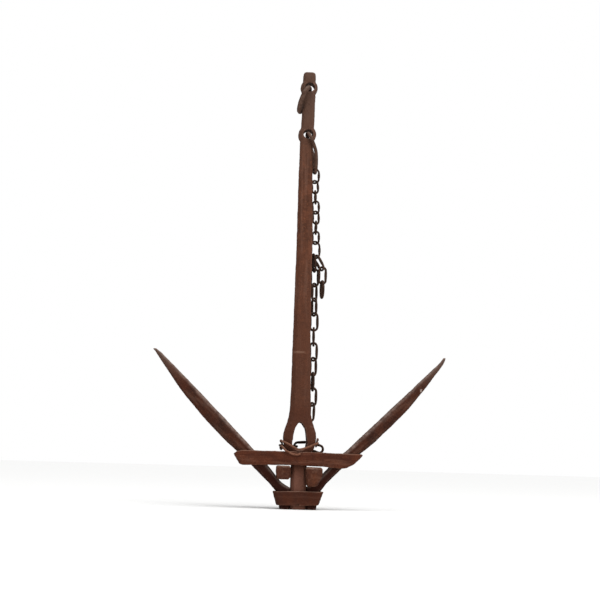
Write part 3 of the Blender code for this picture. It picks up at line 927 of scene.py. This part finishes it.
# Rows of a height, and how far out the outer and the inner edge are there.
ARM_LEFT: Table = (
    (0, 69, 30.4), (14, 69.5, 30.4), (66, 84, 30.4), (80, 96.5, 30.4), (90, 105.9, 50), (100, 115.9, 65),
    (130, 147.1, 92), (165, 184.4, 121), (205, 229.2, 161.5), (244, 274.5, 198.2), (288, 321.2, 242.8),
    (333, 365.9, 286.5), (378, 406.6, 334.1), (423, 446.5, 378.7), (457, 473.1, 414.5), (501, 504.6, 459.2),
    (546, 537.5, 507.1), (575, 558, 537), (590, 571, 558),
)
ARM_RIGHT: Table = (
    (0, 69, 30.4), (14, 69.5, 30.4), (66, 81.5, 30.4), (84, 94.9, 30.4), (95, 102.7, 50), (105, 111.9, 63),
    (130, 135.5, 89), (165, 172, 119.5), (205, 221.9, 160.5), (244, 270.6, 202.6), (288, 316.1, 247.3),
    (333, 361.8, 294.7), (378, 405.9, 339.2), (423, 443, 387), (456, 470.2, 420.7), (464, 476.8, 429.4),
    (482, 490.1, 447), (528, 524, 494), (550, 540.5, 517), (574, 556, 540), (592, 562, 552),
)


@dataclass
class Arm:
    """One straight arm, from its foot beside the shank to its flattened tip."""

    node: str
    table: Table
    side: int
    half_depth: float = 31 * MM
    tip_half_depth: float = 6 * MM
    taper_start: float = 250 * MM
    taper_power: float = 1.3
    chamfer: float = 0.36

    def depth(self, height: float) -> float:
        """Work out half the arm's depth.

        Args:
            height: The height to read at.

        Returns:
            Half the depth there.
        """
        tip = self.table[-1][0] * MM
        share = max(0.0, (height - self.taper_start) / (tip - self.taper_start))
        return self.half_depth + (self.tip_half_depth - self.half_depth) * share ** self.taper_power

    def build(self) -> Piece:
        """Forge the arm.

        Returns:
            The arm.
        """
        sections = []
        for z, outer, inner in self.table:
            middle, half = self.side * (outer + inner) / 2 * MM, (outer - inner) / 2 * MM
            sections.append(Section(middle, z * MM, half, self.depth(z * MM)))
        return ARM_FORGING.work(draw_out(self.node + "_forging", sections, self.chamfer))


# ---------------------------------------------------------------- hoops

@dataclass
class Hoop:
    """A flat band bent round the shank and both arms.

    Its tables, levels and notch are in millimetres. The rows of top and bottom are a place across and
    a height, those of ends are a level, left and right, and the notch is its middle, half width and top.
    """

    node: str
    top: Table
    bottom: Table
    ends: Table
    window_levels: tuple[float, ...]
    notch: tuple[float, float, float] | None = None
    notch_tool_front: float = -0.1
    notch_tool_foot: float = -0.01
    inner_depth: float = 31.3 * MM
    gap: float = 0.3 * MM
    thickness: float = 14 * MM
    spare: float = 10 * MM
    clearance: float = 0.5 * MM
    corner: float = 13 * MM
    bend_angle: float = math.radians(45)

    @property
    def outer_depth(self) -> float:
        """Half of the band's depth from front to back."""
        return self.inner_depth + self.thickness - self.gap

    def strip(self) -> Piece:
        """Shape the band's upper and lower edge from a block, column by column.

        Returns:
            The solid shape, square at its ends.
        """
        columns = sorted({row[0] * MM for row in (*self.top, *self.bottom)})
        low = min(row[1] for row in self.bottom) * MM
        high = max(row[1] for row in self.top) * MM
        reach = self.outer_depth + self.spare
        corners = Vector((columns[0], -reach, low)), Vector((columns[-1], reach, high))
        piece = Bench.block(self.node + "_forging", *corners)
        with Bench.shaping(piece):
            for x in columns[1:-1]:
                bpy.ops.mesh.select_all(action="SELECT")
                bpy.ops.mesh.bisect(plane_co=(x, 0, 0), plane_no=(1, 0, 0))
            for x in columns:
                for table, z in ((self.top, high), (self.bottom, low)):
                    Bench.choose_points(piece, lambda p, x=x, z=z: math.hypot(p.x - x, p.z - z) < TOUCH)
                    bpy.ops.transform.translate(value=(0, 0, read_table(table, x) - z))
        return piece

    def bend(self) -> Piece:
        """Shape the four rounded bends that the band makes on its way round.

        Returns:
            The solid shape, taller than the band.
        """
        sections = [
            Section((left + right) / 2 * MM, level * MM, (right - left) / 2 * MM, self.outer_depth)
            for level, left, right in self.ends
        ]
        piece = draw_out(self.node + "_bend", sections, 0)
        Bench.bevel(piece, self.corner, self.bend_angle)
        return piece

    def window(self) -> Piece:
        """Shape the space inside the band, which follows the arms' backs.

        Returns:
            The tool shape.
        """
        sections = []
        for level in self.window_levels:
            left = -read_table(ARM_LEFT, level * MM) - self.clearance
            right = read_table(ARM_RIGHT, level * MM) + self.clearance
            sections.append(Section((left + right) / 2, level * MM, (right - left) / 2, self.inner_depth))
        return draw_out(self.node + "_window", sections, 0)

    def build(self) -> Piece:
        """Forge the band.

        Returns:
            The band.
        """
        piece = self.strip()
        Bench.combine(piece, self.bend(), "INTERSECT")
        Bench.combine(piece, self.window(), "DIFFERENCE")
        if self.notch:
            x, half, top = (value * MM for value in self.notch)
            low = Vector((x - half, self.notch_tool_front, self.notch_tool_foot))
            tool = Bench.block("notch", low, Vector((x + half, -self.inner_depth, top)))
            Bench.combine(piece, tool, "DIFFERENCE")
        return BAND_FORGING.work(piece)


UPPER_HOOP = Hoop(
    "upper_hoop",
    top=(
        (-247, 201.2), (-236, 210.6), (-220, 214.5), (-67, 215.2), (10, 214.3), (157, 212.3), (236, 211.4),
        (240, 208.4),
    ),
    bottom=(
        (-247, 199.2), (-224, 163.9), (-212, 160.3), (-87, 163.1), (-30, 164.2), (89, 161.4), (150, 156.1),
        (176, 157.8), (205, 171.6), (228, 192.2), (240, 206.4),
    ),
    ends=(
        (120, -195.4, 148), (171.6, -229, 205), (192.2, -242.4, 228), (206.4, -251.7, 240), (250, -280, 268),
    ),
    window_levels=(130, 165, 205, 244),
)
LOWER_HOOP = Hoop(
    "lower_hoop",
    top=((-95, 66), (0, 68.5), (93, 68)),
    bottom=((-95, 64), (-80, 14.5), (0, 15), (76, 17.5), (93, 66)),
    ends=((-20, -69.6, 62.9), (110, -109, 108.4)),
    window_levels=(0, 14, 66, 88),
    notch=(-1, 3, 21),
    corner=16 * MM,
)


# ---------------------------------------------------------------- keys

@dataclass
class Key:
    """A gib key: a battered head in front and a body driven through between the arm and the foot bar.

    The head and body are each left, right, low and high in millimetres.
    """

    node: str
    head: tuple[float, float, float, float]
    body: tuple[float, float, float, float]
    front: float
    narrowing: float
    lean: float = 0.5
    waist: float = 0.55
    face_share: float = 0.93
    wear: float = 6 * MM
    wear_angle: float = math.radians(30)
    body_wear: float = 4 * MM
    head_back: float = -31.6 * MM
    back: float = 53.6 * MM
    overlap: float = 6 * MM

    def build(self) -> Piece:
        """Forge the key.

        Returns:
            The key.
        """
        x0, x1, z0, z1 = (value * MM for value in self.head)
        low, high = Vector((x0, self.front, z0)), Vector((x1, self.head_back, z1))
        piece = Bench.block(self.node + "_forging", low, high)
        low_middle = (x0 + self.lean * (x1 - x0), (self.front + self.head_back) / 2, z0)
        with Bench.shaping(piece):
            bpy.ops.mesh.select_all(action="SELECT")
            bpy.ops.mesh.bisect(plane_co=(0, 0, z0 + self.waist * (z1 - z0)), plane_no=(0, 0, 1))
            Bench.choose_points(piece, lambda p: p.z < z0 + TOUCH)
            bpy.ops.transform.resize(value=(self.narrowing, 1, 1), center_override=low_middle)
            Bench.choose_points(piece, lambda p: p.y < self.front + TOUCH)
            bpy.ops.transform.resize(
                value=(self.face_share, 1, self.face_share),
                center_override=((x0 + x1) / 2, self.front, (z0 + z1) / 2),
            )
        Bench.bevel(piece, self.wear, self.wear_angle)
        a0, a1, b0, b1 = (value * MM for value in self.body)
        low, high = Vector((a0, self.head_back - self.overlap, b0)), Vector((a1, self.back, b1))
        tail = Bench.block("key_body", low, high)
        Bench.modify(tail, "BEVEL", width=self.body_wear, segments=2)
        Bench.combine(piece, tail, "UNION")
        return KEY_FORGING.work(piece)


KEYS = (
    Key("key_left", (-89, -33, 109.5, 162.5), (-78, -30.6, 116, 156), -56 * MM, 0.88),
    Key("key_right", (21.5, 88, 84.5, 160), (30.6, 64, 107, 151), -66 * MM, 0.6, lean=0.25, wear=9 * MM),
)


# ---------------------------------------------------------------- ring and links

@dataclass(frozen=True)
class Seat:
    """Where a closed loop lies in the frame, and its size."""

    middle: Vector
    along: Vector
    across: Vector
    half_length: float
    half_width: float

    @classmethod
    def of_node(cls, node: Piece, bar: float) -> "Seat":
        """Read a loop's seat from its node in the frame.

        Args:
            node: The frame's loop.
            bar: Its bar's radius across the flats.

        Returns:
            The seat, measured to the middle of the bar.
        """
        points = np.array([vertex.co for vertex in node.data.vertices], float)
        mean = points.mean(0)
        axes = np.linalg.eigh(np.cov((points - mean).T)).eigenvectors
        inside = (points - mean) @ axes
        low, high = inside.min(0), inside.max(0)
        half = (high - low) / 2
        middle = mean + axes @ ((low + high) / 2)
        along, across = Vector(axes[:, 2]), Vector(axes[:, 1])
        if across.cross(along).x < 0:
            across.negate()
        return cls(Vector(middle), along, across, float(half[2]) - bar, float(half[1]) - bar)

    def turned(self, axis: Vector, angle: float) -> "Seat":
        """The seat turned on its own middle."""
        turn = Matrix.Rotation(angle, 3, axis)
        return Seat(self.middle, turn @ self.along, turn @ self.across, self.half_length, self.half_width)

    def matrix(self) -> Matrix:
        """Work out how a loop drawn in the XY plane, its length along Y, is laid on this seat.

        Returns:
            The turn and place.
        """
        normal = self.across.cross(self.along)
        turn = Matrix((self.across, self.along, normal)).transposed().to_4x4()
        return Matrix.Translation(self.middle) @ turn


@dataclass(frozen=True)
class LoopShape:
    """A loop's finish, its bar, the sides that the frame gives the bar, and how it is bent."""

    slot: Slot
    bar: float
    sides: int
    bow: float = 0.0
    swell: float = 0.0
    spin: float = 0.0

    @property
    def flats(self) -> float:
        """The radius across the flats of the frame's bar."""
        return self.bar * math.cos(math.pi / self.sides)


LOOP_SHAPES = {     # by the first word of the node's name
    "ring": LoopShape(Slot.RING, 9.5 * MM, 10, spin=math.radians(9)),
    "long": LoopShape(Slot.RING, 7.0 * MM, 10, bow=12 * MM),
    "light": LoopShape(Slot.CHAIN, 4.0 * MM, 8, swell=1.3 * MM),
    **dict.fromkeys(("heavy", "tail", "lashed"), LoopShape(Slot.CHAIN, 4.5 * MM, 8, swell=1.1 * MM)),
}


@dataclass(frozen=True)
class LoopPattern:
    """One loop bent up from round bar, copied wherever it is used."""

    half_length: float
    half_width: float
    shape: LoopShape
    bend_segments: int = 36
    bar_segments: int = 14
    leg_cuts: int = 9
    swollen_shares: tuple[float, ...] = (0.9, 0.7, 0.5)
    grip: float = 3 * MM

    @staticmethod
    def choose_legs(piece: Piece) -> None:
        """Choose the edges that run along the legs, from one bend to the other.

        Args:
            piece: The loop in edit mode.
        """
        bpy.ops.mesh.select_mode(type="EDGE")
        mesh = bmesh.from_edit_mesh(piece.data)
        for edge in mesh.edges:
            edge.select_set(edge.verts[0].co.y * edge.verts[1].co.y < 0)
        mesh.select_flush_mode()
        bmesh.update_edit_mesh(piece.data)

    def build(self) -> Piece:
        """Bend the loop in the XY plane, its length along Y.

        Returns:
            The pattern piece.
        """
        Bench.clear()
        bpy.ops.mesh.primitive_torus_add(
            major_radius=self.half_width, minor_radius=self.shape.bar, major_segments=self.bend_segments,
            minor_segments=self.bar_segments,
        )
        piece = bpy.context.object
        piece.name = "loop_pattern"
        shift = self.half_length - self.half_width
        with Bench.shaping(piece):
            bpy.ops.mesh.select_all(action="SELECT")
            bpy.ops.transform.rotate(
                value=math.pi / self.bend_segments, orient_axis="Z", center_override=(0, 0, 0),
            )
            for side in (1, -1):
                Bench.choose_points(piece, lambda p, s=side: s * p.y > 0)
                bpy.ops.transform.translate(value=(0, side * shift, 0))
            if shift > self.shape.bar:
                self.choose_legs(piece)
                bpy.ops.mesh.subdivide(number_cuts=self.leg_cuts)
            for share in self.swollen_shares:
                Bench.choose_points(piece, lambda p, reach=shift * share: abs(p.y) < reach)
                bpy.ops.transform.shrink_fatten(value=self.shape.swell / len(self.swollen_shares))
            if self.shape.bow:
                Bench.choose_points(piece, lambda p: abs(p.y) < self.grip)
                bpy.ops.transform.translate(
                    value=(0, 0, self.shape.bow), use_proportional_edit=True,
                    proportional_edit_falloff="SMOOTH", proportional_size=self.half_length + self.shape.bar,
                )
                bpy.ops.mesh.select_all(action="SELECT")
                bpy.ops.transform.translate(value=(0, 0, -self.shape.bow / 2))
        return piece


@dataclass
class Loops:
    """The ring, the long link and every chain link."""

    nodes: dict[str, Piece]
    ring_hang: tuple[float, float, float] = (-0.39, 0.0, -0.92)
    sizes_per_mm: int = 4
    patterns: dict[tuple[int, int], Piece] = field(default_factory=dict)

    def copy(self, node: str, shape: LoopShape) -> Piece:
        """Lay a copy of the right pattern on a node's seat.

        Args:
            node: The frame's node.
            shape: The loop's bar and how it is bent.

        Returns:
            The piece.
        """
        seat = Seat.of_node(self.nodes[node], shape.flats).turned(Vector(self.ring_hang), shape.spin)
        size = tuple(round(half / MM * self.sizes_per_mm) for half in (seat.half_length, seat.half_width))
        if size not in self.patterns:
            self.patterns[size] = LoopPattern(seat.half_length, seat.half_width, shape).build()
        Bench.take(self.patterns[size])
        bpy.ops.object.duplicate(linked=False)
        piece = bpy.context.object
        piece.name = node + "_worn"
        piece.matrix_world = seat.matrix()
        Bench.settle(piece)
        for press in BAR_PRESSES:
            press.mark(piece)
        Bench.smooth(piece)
        return piece

    def put_away(self) -> None:
        """Remove the patterns."""
        for piece in self.patterns.values():
            bpy.data.objects.remove(piece, do_unlink=True)
        self.patterns.clear()


# ---------------------------------------------------------------- lashing wire

# Places along the wire's middle line.
WIRE_ROUTE: Table = (
    (74, 38, 262), (74, 52, 266), (73, 62, 256), (70, 62, 241), (68, 48, 237.2), (69, 28, 242),
    (69, 4, 249), (69, -22, 249), (62, -37, 246), (48, -40, 240), (35, -41, 234),
    (15, -44, 227), (-5, -47, 223), (-22, -43, 230), (-38, -40, 239), (-54, -39, 247),
    (-66, -32, 252), (-70, -14, 255), (-71, 10, 255), (-69, 30, 252), (-65, 46, 250),
    (-62.6, 57, 246), (-61.8, 58.8, 237), (-62.2, 56, 227), (-66, 44, 223), (-70, 26, 227), (-71, 4, 231),
    (-70, -20, 234), (-69, -38, 234), (-64, -48, 228), (-54, -50.3, 218), (-38, -49.6, 209),
    (-22, -49.5, 204), (-8, -49.5, 203.5), (2, -49.5, 208),
)


@dataclass
class LashingWire:
    """The stiff wire that ties the last links to the shank's eye."""

    radius: float = 3.9 * MM
    steps: int = 5
    sides: int = 4
    press: Press = Press(Pattern.DENTS, 9, 0.5)
    crease: float = math.radians(50)

    def route(self) -> list[Vector]:
        """Read a smooth curve through the given points.

        Returns:
            The wire's middle line.
        """
        points = [Vector(row) * MM for row in WIRE_ROUTE]
        padded = [2 * points[0] - points[1], *points, 2 * points[-1] - points[-2]]
        line = []
        for before, start, end, after in zip(padded, padded[1:], padded[2:], padded[3:]):
            for t in np.linspace(0, 1, self.steps, endpoint=False):
                line.append(0.5 * (
                    2 * start + (end - before) * t + (2 * before - 5 * start + 4 * end - after) * t ** 2
                    + (3 * start - before - 3 * end + after) * t ** 3
                ))
        line.append(points[-1])
        return line

    def build(self) -> Piece:
        """Bend the wire.

        Returns:
            The wire.
        """
        Bench.clear()
        bpy.ops.curve.primitive_nurbs_path_add()
        piece = bpy.context.object
        piece.name = "lashing_wire_bent"
        piece.data.splines.clear()
        spline = piece.data.splines.new("POLY")
        line = self.route()
        spline.points.add(len(line) - 1)
        for point, place in zip(spline.points, line):
            point.co = (*place, 1)
        piece.data.bevel_depth = self.radius
        piece.data.bevel_resolution = self.sides
        piece.data.use_fill_caps = True
        Bench.take(piece)
        bpy.ops.object.convert(target="MESH")
        with Bench.shaping(piece):
            bpy.ops.mesh.select_all(action="SELECT")
            bpy.ops.mesh.remove_doubles(threshold=TOUCH)
        self.press.mark(piece)
        Bench.take(piece)
        bpy.ops.object.shade_smooth_by_angle(angle=self.crease)
        return piece


# ---------------------------------------------------------------- studio

class Glow(Enum):
    """How a lamp shines: from a panel nearby, or evenly from far away."""

    PANEL = "AREA"
    EVEN = "SUN"


@dataclass(frozen=True)
class Lamp:
    """A soft light; an even one's size is the angle that it fills, in degrees."""

    name: str
    glow: Glow
    place: tuple[float, float, float]
    size: float
    power: float

    def hang(self, target: Vector) -> None:
        """Hang the lamp and turn it to what it lights.

        Args:
            target: The place that it looks at.
        """
        Bench.clear()
        bpy.ops.object.light_add(type=self.glow.value, location=self.place)
        light = bpy.context.object
        light.name = self.name
        light.data.energy = self.power
        if self.glow is Glow.EVEN:
            light.data.angle = math.radians(self.size)
        else:
            light.data.size = self.size
        light.rotation_euler = (target - Vector(self.place)).to_track_quat("-Z", "Y").to_euler()


@dataclass
class Studio:
    """The plain floor, the soft lights and the camera."""

    camera_place: tuple[float, float, float] = (-0.293, -4.005, 0.168)
    yaw: float = math.radians(4.0)
    pitch: float = math.radians(8.92)
    roll: float = math.radians(1.63)
    lens: float = 62.77
    sensor: float = 36.0
    floor_radius: float = 40.0
    floor_sides: int = 96
    floor_colour: Colour = (0.90, 0.90, 0.895)
    floor_roughness: float = 0.9
    air_light: float = 0.4
    air_seen: float = 1.0
    aim: tuple[float, float, float] = (0, 0, 0.8)
    lamps: tuple[Lamp, ...] = (
        Lamp("ceiling", Glow.EVEN, (0.5, -1.3, 4.0), 50.0, 2.4),
        Lamp("front_left", Glow.PANEL, (-3.0, -3.8, 2.0), 2.4, 35.0),
        Lamp("front_right", Glow.PANEL, (3.4, -3.4, 2.2), 2.4, 80.0),
    )

    def floor(self) -> None:
        """Lay the pale floor."""
        Bench.clear()
        bpy.ops.mesh.primitive_circle_add(
            vertices=self.floor_sides, radius=self.floor_radius, fill_type="NGON",
        )
        sheet = bpy.context.object
        sheet.name = "studio_floor"
        paint = bpy.data.materials.new("studio_paint")
        paint.use_nodes = True
        shader = paint.node_tree.nodes["Principled BSDF"]
        shader.inputs["Base Color"].default_value = (*self.floor_colour, 1.0)
        shader.inputs["Roughness"].default_value = self.floor_roughness
        sheet.data.materials.append(paint)
        sheet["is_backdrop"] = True

    def light(self) -> None:
        """Hang the lights and set the pale surroundings."""
        world = bpy.data.worlds.new("studio_air")
        world.use_nodes = True
        world.node_tree.nodes.clear()
        wiring = Wiring(world.node_tree)
        seen = wiring.add("ShaderNodeLightPath").outputs["Is Camera Ray"]
        strength = wiring.ramp(seen, low=0.0, high=1.0, to_low=self.air_light, to_high=self.air_seen)
        air = wiring.add("ShaderNodeBackground", {"Color": (1.0, 1.0, 1.0, 1.0), "Strength": strength})
        wiring.add("ShaderNodeOutputWorld", {"Surface": air.outputs["Background"]})
        bpy.context.scene.world = world
        bpy.context.scene.view_settings.view_transform = "Standard"
        for lamp in self.lamps:
            lamp.hang(Vector(self.aim))

    def camera(self) -> None:
        """Set up the camera."""
        Bench.clear()
        bpy.ops.object.camera_add(location=self.camera_place)
        camera = bpy.context.object
        level = math.cos(self.pitch)
        ahead = Vector((math.sin(self.yaw) * level, math.cos(self.yaw) * level, math.sin(self.pitch)))
        turn = ahead.to_track_quat("-Z", "Y").to_matrix() @ Matrix.Rotation(self.roll, 3, "Z")
        camera.rotation_euler = turn.to_euler()
        camera.data.lens = self.lens
        camera.data.sensor_width = self.sensor
        bpy.context.scene.camera = camera


# ---------------------------------------------------------------- assembly


def main() -> None:
    """Load the frame, build and dress every piece, and set the studio."""
    logging.basicConfig(level=logging.INFO, format="%(name)s: %(message)s")
    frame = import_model()
    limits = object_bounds()
    body_of = {node: body for body, nodes in frame["record"]["behaviour"]["bodies"].items() for node in nodes}
    studio = Studio()
    studio.camera()
    paint = Paintbox(limits, body_of)
    paint.dress(Shank().build(), Slot.SHANK, "shank")
    for arm in (Arm("arm_left", ARM_LEFT, -1), Arm("arm_right", ARM_RIGHT, 1)):
        paint.dress(arm.build(), Slot.ARM, arm.node)
    for hoop in (UPPER_HOOP, LOWER_HOOP):
        paint.dress(hoop.build(), Slot.HOOP, hoop.node)
    for key in KEYS:
        paint.dress(key.build(), Slot.KEY, key.node)
    loops = Loops(frame["nodes"])
    for node in sorted(body_of):
        if shape := LOOP_SHAPES.get(node.split("_")[0]):
            paint.dress(loops.copy(node, shape), shape.slot, node)
    loops.put_away()
    paint.dress(LashingWire().build(), Slot.WIRE, "lashing_wire")
    studio.floor()
    studio.light()


if __name__ == "__main__":
    main()
